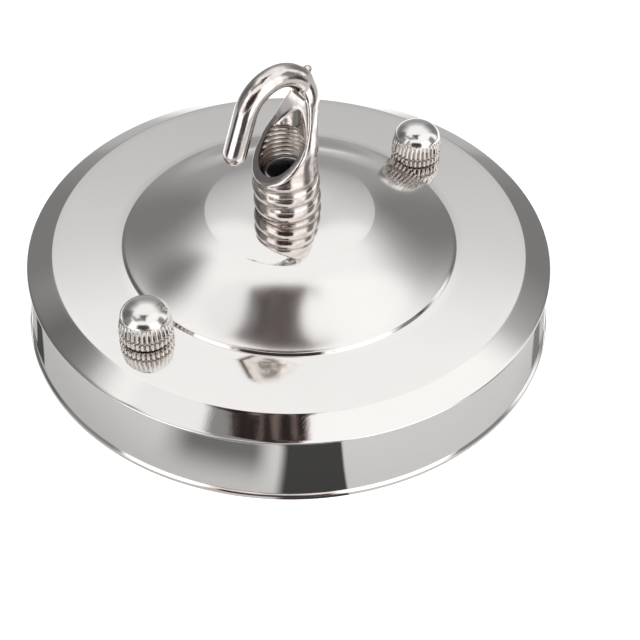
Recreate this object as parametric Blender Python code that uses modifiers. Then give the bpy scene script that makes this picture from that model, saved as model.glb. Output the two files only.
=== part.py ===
"""Ceiling hook plate: a domed canopy with a cast lamp hook and two knurled cap nuts.

The cover stands on its rim with the hook up. The ceiling side is z = 0 and the room is
towards +Z. The strap and the two cap nuts lie along X. Metres throughout.
"""
import bpy
import bmesh
from math import atan2, cos, hypot, pi, radians, sin, tan
from mathutils import Matrix

# Fits
SEAT_GAP = 0.0003            # between faces that touch
THREAD_GAP = 0.0003          # between a plain bore and the plain rod that stand for a thread
RUNNING_GAP = 0.0003         # a screw in its clearance hole, each side

# Canopy cover, pressed from sheet
SHEET = 0.0008
RIM_RADIUS = 0.0529
RIM_BEAD_HEIGHT = 0.0009
RIM_BEAD_OUT = 0.0005        # how far the rim stands out of the wall
WALL_TOP_RADIUS = 0.0516
SEAM_HEIGHT = 0.0141         # lower edge of the shoulder
SEAM_OVERHANG = 0.0006       # shoulder past the wall's top
SEAM_STEP = 0.0005           # height of the groove under the shoulder
RING_OUTER_RADIUS = 0.0470
RING_OUTER_HEIGHT = 0.0169
SHOULDER_EDGE = 0.0004
RING_RISE = 0.0002           # the ring is slightly conical
DOME_STEP = 0.0007           # height of the small step between ring and dome
DOME_STEP_RUN = 0.0004
NUT_TO_DOME = 0.0002         # dome's base and the cap nuts beside it
DOME_HEIGHT = 0.0077         # dome base to plateau edge
DOME_BASE_SLOPE = radians(14)
DOME_TOP_SLOPE = radians(16)
PLATEAU_RADIUS = 0.0167
PLATEAU_RISE = 0.0008
SEAT_RADIUS = 0.0072         # flat under the hook
COVER_SEGMENTS = 64

# Hook casting, in its own frame: z = 0 at its foot, the tip towards +X
BARREL_RADIUS = 0.0066       # over the rings
RING_PITCH = 0.0037
RING_COUNT = 2
RING_DEPTH = 0.0005
HORN_RADIUS = 0.0064         # casting round the window
BAR_RADIUS = 0.0020
BIGHT_RADIUS = 0.0079        # hook's curve, to the middle of the bar
BACK_RADIUS = 0.0071         # the same towards the spine, where it is flatter
BIGHT_HEIGHT = 0.0225        # centre of that curve above the foot
BIGHT_REACH = 0.0005         # and in front of the axis
ARM_LENGTH = 0.0086          # straight end of the arm
ARM_SPLAY = radians(22.5)
LIP_HEIGHT = 0.0086          # lowest point of the window's rim
CHEEK_HEIGHT = 0.0208        # points of the cheeks beside the spine
CHEEK_BACK = 0.0056          # how far the cheeks stand behind the axis
SCOOP_RADIUS = 0.0050
NUB_RADIUS = 0.0009
NUB_ANGLE = radians(142)     # place of the casting nub on the hook's curve

# M10 x 1 nipple thread: socket, nipple, washer and nut
NIPPLE_PITCH_RADIUS = 0.00468
NIPPLE_BORE_RADIUS = 0.0035
NIPPLE_ENGAGEMENT = 0.0087   # in the socket
NIPPLE_TAIL = 0.0020         # below the nut
SOCKET_DEPTH = 0.0160
SOCKET_CONE = 0.0014         # height of its closed end
NIPPLE_CLEARANCE = 0.00087   # in the holes of cover and washer, each side
WASHER_RADIUS = 0.0088
WASHER_THICKNESS = 0.0008
WASHER_TEETH = 12
WASHER_TOOTH_DEPTH = 0.0013
NIPPLE_NUT_FLATS = 0.0140
NIPPLE_NUT_HEIGHT = 0.0030

# The hook stands as it was screwed on: turned from the strap and a little out of plumb
HOOK_TURN = radians(170)
HOOK_LEAN = radians(3.8)
HOOK_LEAN_TOWARD = radians(134)
HOOK_SHIFT = 0.0004          # play of the nipple in the cover, taken up towards the lean

# M4 thread: strap screws, lock nuts and cap nuts
SCREW_PITCH_RADIUS = 0.00177
SCREW_SPACING = 0.0763
SCREW_ENGAGEMENT = 0.0044    # in the cap nut
SCREW_HEAD_RADIUS = 0.0038
SCREW_HEAD_HEIGHT = 0.0024
SCREW_SLOT_WIDTH = 0.0010
SCREW_SLOT_DEPTH = 0.0011
LOCK_NUT_FLATS = 0.0070
LOCK_NUT_HEIGHT = 0.0032

# Knurled cap nut
CAP_RADIUS = 0.00515
CAP_HEIGHT = 0.0078
CAP_DOME_HEIGHT = 0.0031
CAP_SHOULDER_RADIUS = 0.00475
CAP_BASE_BEVEL = 0.0004
CAP_GROOVE_HEIGHT = 0.0017
CAP_GROOVE_WIDTH = 0.0004
CAP_GROOVE_DEPTH = 0.0005
KNURL_TEETH = 32
KNURL_DEPTH = 0.00035
KNURL_TOP = 0.0056           # where the flutes have run out on the dome
CAP_BORE_TOP_WALL = 0.0016

# Mounting strap
STRAP_WIDTH = 0.018
STRAP_THICKNESS = 0.0015
STRAP_END_MARGIN = 0.0070    # strap past the screw's axis
STRAP_CORNER = 0.0040
STRAP_FLAT_LENGTH = 0.052    # middle that lies on the ceiling
JOGGLE_RUN = 0.0045
CABLE_HOLE_RADIUS = 0.0056
SLOT_WIDTH = 0.0050          # for the ceiling screws
SLOT_LENGTH = 0.0130
SLOT_CENTRE = 0.0170
SCREW_SLOT_TRAVEL = 0.0040   # adjustment of the strap screws along the strap

ROUND_SEGMENTS = 32


# Scene helpers

def clear_scene():
    for obj in list(bpy.data.objects):
        bpy.data.objects.remove(obj, do_unlink=True)


def new_collection(name):
    collection = bpy.data.collections.new(name)
    bpy.context.scene.collection.children.link(collection)
    return collection


def metal(name, colour, roughness, metallic=1.0):
    material = bpy.data.materials.new(name)
    material.use_nodes = True
    shader = material.node_tree.nodes["Principled BSDF"]
    shader.inputs["Base Color"].default_value = (*colour, 1.0)
    shader.inputs["Roughness"].default_value = roughness
    shader.inputs["Metallic"].default_value = metallic
    return material


def add_object(name, mesh, collection, material=None, parent=None):
    obj = bpy.data.objects.new(name, mesh)
    collection.objects.link(obj)
    obj.parent = parent
    if material:
        mesh.materials.append(material)
        mesh.shade_smooth()
        mesh.set_sharp_from_angle(angle=radians(32))
    return obj


def as_cutter(obj):
    obj.hide_render = True
    obj.display_type = 'WIRE'
    return obj


def evaluated_mesh(obj):
    """A mesh of the object with its modifiers or curve settings applied."""
    depsgraph = bpy.context.evaluated_depsgraph_get()
    mesh = bpy.data.meshes.new_from_object(obj.evaluated_get(depsgraph))
    mesh.name = obj.name
    return mesh


def weld(mesh, distance=1e-6):
    work = bmesh.new()
    work.from_mesh(mesh)
    bmesh.ops.remove_doubles(work, verts=work.verts, dist=distance)
    bmesh.ops.recalc_face_normals(work, faces=work.faces)
    work.to_mesh(mesh)
    work.free()


def bore_out(obj, cutter, operation='DIFFERENCE'):
    modifier = obj.modifiers.new(cutter.name, 'BOOLEAN')
    modifier.operation = operation
    modifier.object = cutter
    modifier.solver = 'EXACT'


# Shapes

def turned_mesh(name, profile, segments=ROUND_SEGMENTS, closed=False):
    """Turn a profile of (radius, height) points about Z with a Screw modifier.

    The points run down the outer side; closed joins the last one to the first.
    """
    outline = bpy.data.meshes.new(name)
    edges = [(i, i + 1) for i in range(len(profile) - 1)]
    if closed:
        edges.append((len(profile) - 1, 0))
    outline.from_pydata([(radius, 0, height) for radius, height in profile], edges, [])
    turner = bpy.data.objects.new(name, outline)
    bpy.context.scene.collection.objects.link(turner)
    screw = turner.modifiers.new("turn", 'SCREW')
    screw.steps = screw.render_steps = segments
    screw.use_merge_vertices = True
    screw.merge_threshold = 1e-6
    mesh = evaluated_mesh(turner)
    bpy.data.objects.remove(turner, do_unlink=True)
    bpy.data.meshes.remove(outline)
    return mesh


def plug_mesh(name, radius, top, bottom, segments=ROUND_SEGMENTS):
    return turned_mesh(name, [(0, top), (radius, top), (radius, bottom), (0, bottom)], segments)


def outline_curve(name, points, thickness, collection, centre_height=0.0):
    """A flat outline of (x, y) points, filled and extruded to a plate about centre_height."""
    curve = bpy.data.curves.new(name, 'CURVE')
    curve.dimensions = '2D'
    curve.fill_mode = 'BOTH'
    curve.extrude = thickness / 2
    spline = curve.splines.new('POLY')
    spline.points.add(len(points) - 1)
    for point, (x, y) in zip(spline.points, points):
        point.co = (x, y, 0, 1)
    spline.use_cyclic_u = True
    obj = bpy.data.objects.new(name, curve)
    collection.objects.link(obj)
    obj.location.z = centre_height
    return obj


def curve_to_mesh(obj, collection, material=None):
    """Swap a curve object for a welded mesh object in the same place."""
    bpy.context.view_layer.update()
    mesh = evaluated_mesh(obj)
    weld(mesh)
    solid = add_object(obj.name + "_solid", mesh, collection, material, obj.parent)
    solid.matrix_world = obj.matrix_world.copy()
    name = obj.name
    bpy.data.objects.remove(obj, do_unlink=True)
    solid.name = name
    return solid


def arc(centre, radius, start, end, steps):
    return [(centre[0] + radius * cos(start + (end - start) * i / steps),
             centre[1] + radius * sin(start + (end - start) * i / steps)) for i in range(steps + 1)]


def bezier(start, handle_a, handle_b, end, steps):
    """Points on a cubic curve, without its first point."""
    points = []
    for i in range(1, steps + 1):
        t = i / steps
        a, b, c, d = (1 - t) ** 3, 3 * t * (1 - t) ** 2, 3 * t * t * (1 - t), t ** 3
        points.append(tuple(a * start[k] + b * handle_a[k] + c * handle_b[k] + d * end[k] for k in (0, 1)))
    return points


def slot_outline(length, width, centre_x, steps=8):
    """A slot along X with round ends; its length is over the ends."""
    reach = (length - width) / 2
    right = arc((centre_x + reach, 0), width / 2, -pi / 2, pi / 2, steps)
    left = arc((centre_x - reach, 0), width / 2, pi / 2, 3 * pi / 2, steps)
    return right + left


def rounded_rectangle(length, width, corner, steps=5):
    points = []
    for quadrant in range(4):
        sx, sy = ((1, 1), (-1, 1), (-1, -1), (1, -1))[quadrant]
        centre = (sx * (length / 2 - corner), sy * (width / 2 - corner))
        points += arc(centre, corner, quadrant * pi / 2, (quadrant + 1) * pi / 2, steps)
    return points


# Canopy cover

DOME_BASE_RADIUS = SCREW_SPACING / 2 - CAP_RADIUS - NUT_TO_DOME
RING_INNER_RADIUS = DOME_BASE_RADIUS + DOME_STEP_RUN
RING_INNER_HEIGHT = RING_OUTER_HEIGHT + RING_RISE
DOME_BASE_HEIGHT = RING_INNER_HEIGHT + DOME_STEP
PLATEAU_HEIGHT = DOME_BASE_HEIGHT + DOME_HEIGHT - DOME_STEP
TOP_HEIGHT = PLATEAU_HEIGHT + PLATEAU_RISE


def dome_profile():
    """Hook seat, plateau and the ogee down to the step at the dome's base."""
    points = [(NIPPLE_HOLE_RADIUS, TOP_HEIGHT), (SEAT_RADIUS, TOP_HEIGHT)]
    span = PLATEAU_RADIUS - SEAT_RADIUS
    for i in range(1, 3):
        along = i / 2
        points.append((SEAT_RADIUS + span * along, TOP_HEIGHT - PLATEAU_RISE * along ** 2))
    run = DOME_BASE_RADIUS - PLATEAU_RADIUS
    upper, lower = run * 0.36, run * 0.30
    points += bezier(points[-1],
                     (PLATEAU_RADIUS + upper, PLATEAU_HEIGHT - upper * tan(DOME_TOP_SLOPE)),
                     (DOME_BASE_RADIUS - lower, DOME_BASE_HEIGHT + lower * tan(DOME_BASE_SLOPE)),
                     (DOME_BASE_RADIUS, DOME_BASE_HEIGHT), 7)
    return points


def shoulder_profile():
    """The bevelled band from the flat ring out to the seam, its lower edge rounded."""
    seam_radius = WALL_TOP_RADIUS + SEAM_OVERHANG
    corner = (seam_radius, SEAM_HEIGHT + SHOULDER_EDGE)
    run, rise = corner[0] - RING_OUTER_RADIUS, RING_OUTER_HEIGHT - corner[1]
    back = SHOULDER_EDGE / hypot(run, rise)
    start = (corner[0] - run * back, corner[1] + rise * back)
    middle = (RING_OUTER_RADIUS + run / 2, RING_OUTER_HEIGHT - rise / 2)
    return [middle] + bezier(start, corner, corner, (seam_radius, SEAM_HEIGHT), 3)


def cover_profile():
    wall_base_radius = RIM_RADIUS - RIM_BEAD_OUT
    points = dome_profile()
    points.append((RING_INNER_RADIUS, RING_INNER_HEIGHT))
    points.append((RING_OUTER_RADIUS, RING_OUTER_HEIGHT))
    points += shoulder_profile()
    points.append((WALL_TOP_RADIUS, SEAM_HEIGHT - SEAM_STEP))
    points.append((wall_base_radius, RIM_BEAD_HEIGHT))
    points.append((RIM_RADIUS, RIM_BEAD_HEIGHT * 0.6))
    points.append((RIM_RADIUS, 0.0))
    return points


def make_cover(parts, cutters, chrome):
    """One pressed shell: an open turned surface thickened inwards, with its three holes."""
    mesh = turned_mesh("canopy_cover", cover_profile(), COVER_SEGMENTS)
    cover = add_object("canopy_cover", mesh, parts, chrome)
    shell = cover.modifiers.new("sheet", 'SOLIDIFY')
    shell.thickness = SHEET
    shell.offset = -1
    shell.use_even_offset = True
    top, bottom = RING_INNER_HEIGHT + SHEET, RING_OUTER_HEIGHT - SHEET * 2
    for side in (-1, 1):
        hole = plug_mesh("cover_hole", SCREW_HOLE_RADIUS, top, bottom, 20)
        cutter = as_cutter(add_object("cover_hole", hole, cutters))
        cutter.location.x = side * SCREW_SPACING / 2
        bore_out(cover, cutter)
    return cover


# Hook casting

SOCKET_RADIUS = NIPPLE_PITCH_RADIUS + THREAD_GAP / 2
NIPPLE_RADIUS = NIPPLE_PITCH_RADIUS - THREAD_GAP / 2
NIPPLE_HOLE_RADIUS = NIPPLE_RADIUS + NIPPLE_CLEARANCE
BARREL_HEIGHT = RING_PITCH * RING_COUNT
GROOVE_RADIUS = BARREL_RADIUS - RING_DEPTH


def barrel_profile():
    """The stack of rounded rings, from the top down to the foot."""
    points = [(0, BARREL_HEIGHT), (GROOVE_RADIUS, BARREL_HEIGHT)]
    steps = 6
    for ring in range(RING_COUNT - 1, -1, -1):
        for i in range(1, steps + 1):
            swell = sin(pi * i / steps) ** 0.7
            points.append((GROOVE_RADIUS + RING_DEPTH * swell, RING_PITCH * (ring + 1 - i / steps)))
    points.append((0, 0))
    return points


def horn_path():
    """(x, z, radius) stations from inside the barrel, up the spine and over to the arm's tip."""
    rise = CHEEK_HEIGHT - LIP_HEIGHT
    back = BIGHT_REACH - BACK_RADIUS
    stations = [(0.0, BARREL_HEIGHT * 0.45, GROOVE_RADIUS * 0.92),
                (0.0, BARREL_HEIGHT * 0.90, GROOVE_RADIUS * 0.95),
                (0.0, BARREL_HEIGHT, GROOVE_RADIUS * 0.99),
                (0.0, BARREL_HEIGHT + RING_PITCH * 0.3, HORN_RADIUS),
                (0.0, LIP_HEIGHT + rise * 0.25, HORN_RADIUS),
                (back * 0.11, LIP_HEIGHT + rise * 0.50, HORN_RADIUS * 0.99),
                (back * 0.30, LIP_HEIGHT + rise * 0.75, HORN_RADIUS * 0.87),
                (back * 0.53, LIP_HEIGHT + rise * 0.95, HORN_RADIUS * 0.71),
                (back * 0.74, LIP_HEIGHT + rise * 1.10, HORN_RADIUS * 0.54),
                (back * 0.89, LIP_HEIGHT + rise * 1.22, HORN_RADIUS * 0.40)]
    turn_steps = 14
    first = radians(150)
    for i in range(turn_steps + 1):
        angle = first + (ARM_SPLAY - first) * i / turn_steps
        reach = BACK_RADIUS if angle > pi / 2 else BIGHT_RADIUS
        stations.append((BIGHT_REACH + reach * cos(angle), BIGHT_HEIGHT + BIGHT_RADIUS * sin(angle),
                         BAR_RADIUS))
    x, z = stations[-1][:2]
    ends = [(ARM_LENGTH * along, BAR_RADIUS) for along in (0.35, 0.7, 1.0)]
    for angle in (radians(30), radians(55), radians(75)):
        ends.append((ARM_LENGTH + BAR_RADIUS * sin(angle), BAR_RADIUS * cos(angle)))
    stations += [(x + run * sin(ARM_SPLAY), z - run * cos(ARM_SPLAY), radius) for run, radius in ends]
    return stations


def swept_bar(name, stations, cutters, seat):
    """A round bar along (x, z, radius) stations in the hook's middle plane, as a welded mesh."""
    curve = bpy.data.curves.new(name, 'CURVE')
    curve.dimensions = '3D'
    curve.bevel_depth = 1.0
    curve.bevel_resolution = 8
    curve.use_fill_caps = True
    spline = curve.splines.new('POLY')
    spline.points.add(len(stations) - 1)
    for point, (x, z, radius) in zip(spline.points, stations):
        point.co = (x, 0, z, 1)
        point.radius = radius
    bar = bpy.data.objects.new(name, curve)
    cutters.objects.link(bar)
    bar.parent = seat
    return as_cutter(curve_to_mesh(bar, cutters))


def face_outline():
    """Side view of what is cut away in front of the window's rim, as (x, z)."""
    front = HORN_RADIUS * 1.08
    rise = CHEEK_HEIGHT - LIP_HEIGHT
    start = (front, LIP_HEIGHT - (front - HORN_RADIUS) * 0.6)
    end = (-CHEEK_BACK, CHEEK_HEIGHT)
    rim = [start] + bezier(start, (front * 0.45, LIP_HEIGHT + rise * 0.20),
                           (end[0] * 0.50, LIP_HEIGHT + rise * 0.62), end, 8)
    under = [(BIGHT_REACH + (BACK_RADIUS - BAR_RADIUS * 0.97) * cos(angle),
              BIGHT_HEIGHT + (BIGHT_RADIUS - BAR_RADIUS * 0.97) * sin(angle))
             for angle in (radians(158), radians(145), radians(120), radians(90), radians(50), 0.0)]
    return rim + under + [(front, LIP_HEIGHT + rise * 0.45)]


def scoop_path():
    """(x, z, radius) stations of the round hollow that joins the socket to the gap of the hook."""
    tip_x = BIGHT_REACH - (BACK_RADIUS - BAR_RADIUS) + SCOOP_RADIUS
    tip_z = BIGHT_HEIGHT - SCOOP_RADIUS * 0.42
    stations = [(SCOOP_RADIUS * 1.1, SOCKET_DEPTH - 0.0006, SCOOP_RADIUS),
                (SCOOP_RADIUS * 0.06, SOCKET_DEPTH + SCOOP_RADIUS * 0.40, SCOOP_RADIUS)]
    for angle in (radians(0), radians(25), radians(50), radians(70), radians(84)):
        stations.append((tip_x, tip_z + SCOOP_RADIUS * 0.9 * sin(angle), SCOOP_RADIUS * 0.96 * cos(angle)))
    return stations


def make_hook(parts, cutters, chrome, seat):
    """The casting: ringed barrel, swept horn and arm, slanted window, scoop and socket."""
    hook = add_object("hook_casting", turned_mesh("hook_casting", barrel_profile(), 40), parts, chrome, seat)
    bore_out(hook, swept_bar("horn_and_arm", horn_path(), cutters, seat), 'UNION')
    nub_mesh = bpy.data.meshes.new("casting_nub")
    work = bmesh.new()
    bmesh.ops.create_uvsphere(work, u_segments=10, v_segments=7, radius=NUB_RADIUS)
    work.to_mesh(nub_mesh)
    work.free()
    nub = as_cutter(add_object("casting_nub", nub_mesh, cutters, parent=seat))
    nub.location = (BIGHT_REACH + (BACK_RADIUS + BAR_RADIUS) * cos(NUB_ANGLE), 0,
                    BIGHT_HEIGHT + (BIGHT_RADIUS + BAR_RADIUS) * sin(NUB_ANGLE))
    bore_out(hook, nub, 'UNION')
    face = outline_curve("window_face", face_outline(), HORN_RADIUS * 3, cutters)
    face.location = (0, 0, 0)
    face.rotation_euler = (pi / 2, 0, 0)
    face.parent = seat
    bore_out(hook, as_cutter(curve_to_mesh(face, cutters)))
    bore_out(hook, swept_bar("scoop", scoop_path(), cutters, seat))
    bore = turned_mesh("socket", [(0, SOCKET_DEPTH + SOCKET_CONE), (SOCKET_RADIUS, SOCKET_DEPTH),
                                  (SOCKET_RADIUS, -SHEET), (0, -SHEET)], 40)
    bore_out(hook, as_cutter(add_object("socket", bore, cutters, parent=seat)))
    return hook


# Nipple, washer and nuts

def make_hex_nut(name, flats, height, bore_radius, parts, cutters, material, parent=None):
    """A hexagon with both faces chamfered round, and a plain bore, standing on z = 0."""
    corner = flats / 2 / cos(pi / 6)
    wide = corner * 1.02
    drop = (wide - flats / 2) * tan(radians(30))
    nut = add_object(name, plug_mesh(name, corner, height, 0, 6), parts, material, parent)
    profile = [(0, height), (flats / 2, height), (wide, height - drop), (wide, drop), (flats / 2, 0), (0, 0)]
    chamfer = as_cutter(add_object(name + "_chamfer", turned_mesh(name, profile, 36), cutters, parent=nut))
    bore = plug_mesh(name, bore_radius, height * 2, -height, 28)
    bore_out(nut, chamfer, 'INTERSECT')
    bore_out(nut, as_cutter(add_object(name + "_bore", bore, cutters, parent=nut)))
    return nut


WASHER_TOP = TOP_HEIGHT - SHEET - SEAT_GAP
FOOT_LIFT = GROOVE_RADIUS * sin(HOOK_LEAN)
NUT_TILT = NIPPLE_NUT_FLATS / 2 / cos(pi / 6) * sin(HOOK_LEAN)
NUT_TOP = -FOOT_LIFT - SHEET - WASHER_THICKNESS - SEAT_GAP * 3 - NUT_TILT


def make_nipple(parts, steel, seat):
    """Hollow threaded tube, from below the nut up to the window."""
    top = NIPPLE_ENGAGEMENT
    bottom = NUT_TOP - NIPPLE_NUT_HEIGHT - NIPPLE_TAIL
    bevel = (NIPPLE_RADIUS - NIPPLE_BORE_RADIUS) * 0.3
    profile = [(NIPPLE_BORE_RADIUS, top), (NIPPLE_RADIUS - bevel, top), (NIPPLE_RADIUS, top - bevel),
               (NIPPLE_RADIUS, bottom + bevel), (NIPPLE_RADIUS - bevel, bottom),
               (NIPPLE_BORE_RADIUS, bottom)]
    tube = turned_mesh("hollow_nipple", profile, 36, closed=True)
    return add_object("hollow_nipple", tube, parts, steel, seat)


def make_toothed_washer(parts, cutters, steel):
    """A flat lock washer with teeth round its outer edge."""
    points = []
    for tooth in range(WASHER_TEETH):
        for part, radius in ((0.0, WASHER_RADIUS - WASHER_TOOTH_DEPTH), (0.22, WASHER_RADIUS),
                             (0.62, WASHER_RADIUS), (0.78, WASHER_RADIUS - WASHER_TOOTH_DEPTH)):
            angle = 2 * pi * (tooth + part) / WASHER_TEETH
            points.append((radius * cos(angle), radius * sin(angle)))
    middle = WASHER_TOP - WASHER_THICKNESS / 2
    plate = outline_curve("toothed_washer", points, WASHER_THICKNESS, parts, middle)
    washer = curve_to_mesh(plate, parts, steel)
    hole = plug_mesh("washer_hole", NIPPLE_HOLE_RADIUS, WASHER_THICKNESS, -WASHER_THICKNESS, 36)
    cutter = as_cutter(add_object("washer_hole", hole, cutters, parent=washer))
    bore_out(washer, cutter)
    return washer


# M4 screws and cap nuts

SCREW_RADIUS = SCREW_PITCH_RADIUS - THREAD_GAP / 2
SCREW_BORE_RADIUS = SCREW_PITCH_RADIUS + THREAD_GAP / 2
SCREW_HOLE_RADIUS = SCREW_PITCH_RADIUS + RUNNING_GAP * 2
STRAP_END_UNDERSIDE = SCREW_HEAD_HEIGHT + SEAT_GAP * 2
STRAP_END_TOP = STRAP_END_UNDERSIDE + STRAP_THICKNESS
CAP_FOOT = RING_INNER_HEIGHT + SEAT_GAP
SCREW_TOP = CAP_FOOT + SCREW_ENGAGEMENT


def make_strap_screw(name, x, parts, cutters, steel):
    """Slotted pan-head screw, its head between strap and ceiling."""
    head_top = STRAP_END_UNDERSIDE - SEAT_GAP
    head_base = head_top - SCREW_HEAD_HEIGHT
    tip_bevel = SCREW_RADIUS * 0.3
    profile = [(0, SCREW_TOP), (SCREW_RADIUS - tip_bevel, SCREW_TOP), (SCREW_RADIUS, SCREW_TOP - tip_bevel),
               (SCREW_RADIUS, head_top), (SCREW_HEAD_RADIUS, head_top),
               (SCREW_HEAD_RADIUS, head_top - SCREW_HEAD_HEIGHT * 0.45),
               (SCREW_HEAD_RADIUS * 0.86, head_base + SCREW_HEAD_HEIGHT * 0.12),
               (SCREW_HEAD_RADIUS * 0.55, head_base), (0, head_base)]
    screw = add_object(name, turned_mesh(name, profile, 24), parts, steel)
    screw.location.x = x
    slot = bpy.data.meshes.new(name + "_slot")
    work = bmesh.new()
    bmesh.ops.create_cube(work, size=1.0)
    slot_size = (SCREW_SLOT_WIDTH, SCREW_HEAD_RADIUS * 3, SCREW_SLOT_DEPTH * 2)
    bmesh.ops.scale(work, verts=work.verts, vec=slot_size)
    work.to_mesh(slot)
    work.free()
    cutter = as_cutter(add_object(name + "_slot", slot, cutters, parent=screw))
    cutter.location.z = head_base
    bore_out(screw, cutter)
    return screw


def cap_profile():
    """Bore, foot, groove, fluted skirt and dome, running down the outer side and up the bore."""
    bore_top = CAP_HEIGHT - CAP_BORE_TOP_WALL
    skirt_top = CAP_HEIGHT - CAP_DOME_HEIGHT
    groove = CAP_GROOVE_HEIGHT
    half = CAP_GROOVE_WIDTH / 2
    points = [(0, CAP_HEIGHT)]
    steps = 5
    for i in range(1, steps + 1):
        angle = pi / 2 * (1 - i / steps)
        points.append((CAP_SHOULDER_RADIUS * cos(angle), skirt_top + CAP_DOME_HEIGHT * sin(angle)))
    points.append(((CAP_SHOULDER_RADIUS + CAP_RADIUS) / 2, (skirt_top + groove + half) / 2))
    points.append((CAP_RADIUS, groove + half * 2))
    points.append((CAP_RADIUS - CAP_GROOVE_DEPTH, groove + half))
    points.append((CAP_RADIUS - CAP_GROOVE_DEPTH, groove - half))
    points.append((CAP_RADIUS, groove - half * 2))
    points.append((CAP_RADIUS, CAP_BASE_BEVEL))
    points.append((CAP_RADIUS - CAP_BASE_BEVEL * 1.2, 0))
    points.append((SCREW_BORE_RADIUS, 0))
    points.append((SCREW_BORE_RADIUS, bore_top - SCREW_BORE_RADIUS * 0.5))
    points.append((0, bore_top))
    return points


def flute_depth(radius, height):
    """How deep the knurl's flutes are at a point of the cap nut's outside."""
    if height > KNURL_TOP or radius < CAP_SHOULDER_RADIUS * 0.8:
        return 0.0
    fade = min(1.0, (KNURL_TOP - height) / (KNURL_TOP * 0.3))
    in_groove = abs(height - CAP_GROOVE_HEIGHT) < CAP_GROOVE_WIDTH
    return KNURL_DEPTH * fade * (0.3 if in_groove else 1.0)


def make_cap_nut(name, x, parts, chrome):
    """Domed cap nut; alternate columns of the turned blank are pressed in as flutes."""
    mesh = turned_mesh(name, cap_profile(), KNURL_TEETH * 2)
    for vertex in mesh.vertices:
        radius = hypot(vertex.co.x, vertex.co.y)
        if vertex.co.z <= 0 or radius < SCREW_BORE_RADIUS * 1.5:
            continue
        column = round(atan2(vertex.co.y, vertex.co.x) / (pi / KNURL_TEETH))
        if column % 2:
            factor = 1 - flute_depth(radius, vertex.co.z) / radius
            vertex.co.x *= factor
            vertex.co.y *= factor
    nut = add_object(name, mesh, parts, chrome)
    nut.location = (x, 0, CAP_FOOT)
    return nut


# Mounting strap

def make_strap(parts, cutters, steel):
    """Steel strap: flat on the ceiling in the middle, its ends raised over the screw heads."""
    length = SCREW_SPACING + 2 * STRAP_END_MARGIN
    flat = STRAP_FLAT_LENGTH / 2
    stations = [(-length / 2, STRAP_END_UNDERSIDE), (-flat - JOGGLE_RUN, STRAP_END_UNDERSIDE), (-flat, 0),
                (flat, 0), (flat + JOGGLE_RUN, STRAP_END_UNDERSIDE), (length / 2, STRAP_END_UNDERSIDE)]
    mesh = bpy.data.meshes.new("mounting_strap")
    work = bmesh.new()
    rows = [[work.verts.new((x, side * STRAP_WIDTH / 2, z)) for side in (-1, 1)] for x, z in stations]
    for a, b in zip(rows, rows[1:]):
        work.faces.new((a[0], b[0], b[1], a[1]))
    work.to_mesh(mesh)
    work.free()
    strap = add_object("mounting_strap", mesh, parts, steel)
    sheet = strap.modifiers.new("plate", 'SOLIDIFY')
    sheet.thickness = STRAP_THICKNESS
    sheet.offset = 1
    sheet.use_even_offset = True
    tall = STRAP_END_TOP * 4
    outline = rounded_rectangle(length - SEAT_GAP, STRAP_WIDTH - SEAT_GAP, STRAP_CORNER)
    blank = outline_curve("strap_blank", outline, tall, cutters)
    bore_out(strap, as_cutter(curve_to_mesh(blank, cutters)), 'INTERSECT')
    screw_slot = SCREW_HOLE_RADIUS * 2
    outlines = [slot_outline(SLOT_LENGTH, SLOT_WIDTH, side * SLOT_CENTRE) for side in (-1, 1)]
    outlines += [slot_outline(SCREW_SLOT_TRAVEL + screw_slot, screw_slot, side * SCREW_SPACING / 2)
                 for side in (-1, 1)]
    outlines.append(arc((0, 0), CABLE_HOLE_RADIUS, 0, 2 * pi * 27 / 28, 27))
    for number, outline in enumerate(outlines):
        plate = outline_curve("strap_slot_%d" % number, outline, tall, cutters)
        bore_out(strap, as_cutter(curve_to_mesh(plate, cutters)))
    return strap


def make_hook_seat(parts):
    """Empty at the hook's foot, turned and leaning as the hook stands."""
    seat = bpy.data.objects.new("hook_seat", None)
    parts.objects.link(seat)
    foot = (HOOK_SHIFT * cos(HOOK_LEAN_TOWARD), HOOK_SHIFT * sin(HOOK_LEAN_TOWARD),
            TOP_HEIGHT + SEAT_GAP + FOOT_LIFT)
    seat.matrix_world = (Matrix.Translation(foot)
                         @ Matrix.Rotation(HOOK_LEAN_TOWARD, 4, 'Z')
                         @ Matrix.Rotation(HOOK_LEAN, 4, 'Y')
                         @ Matrix.Rotation(HOOK_TURN - HOOK_LEAN_TOWARD, 4, 'Z'))
    return seat


def main():
    clear_scene()
    parts = new_collection("ceiling_hook_plate")
    cutters = new_collection("cutters")
    chrome = metal("polished_nickel_chrome", (0.82, 0.80, 0.78), 0.06)
    cast = metal("plated_casting", (0.78, 0.74, 0.71), 0.12)
    zinc = metal("zinc_plated_steel", (0.62, 0.64, 0.66), 0.32)
    seat = make_hook_seat(parts)
    make_cover(parts, cutters, chrome)
    make_hook(parts, cutters, cast, seat)
    make_nipple(parts, zinc, seat)
    make_toothed_washer(parts, cutters, zinc)
    nut = make_hex_nut("nipple_nut", NIPPLE_NUT_FLATS, NIPPLE_NUT_HEIGHT, SOCKET_RADIUS,
                       parts, cutters, zinc, seat)
    nut.location.z = NUT_TOP - NIPPLE_NUT_HEIGHT
    make_strap(parts, cutters, zinc)
    for side, name in ((-1, "left"), (1, "right")):
        x = side * SCREW_SPACING / 2
        make_strap_screw("strap_screw_" + name, x, parts, cutters, zinc)
        lock = make_hex_nut("lock_nut_" + name, LOCK_NUT_FLATS, LOCK_NUT_HEIGHT, SCREW_BORE_RADIUS,
                            parts, cutters, zinc)
        lock.location = (x, 0, STRAP_END_TOP + SEAT_GAP)
        make_cap_nut("cap_nut_" + name, x, parts, chrome)


main()
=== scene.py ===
"""Finished look of a domed ceiling hook plate, built over its packed CAD parts."""

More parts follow.
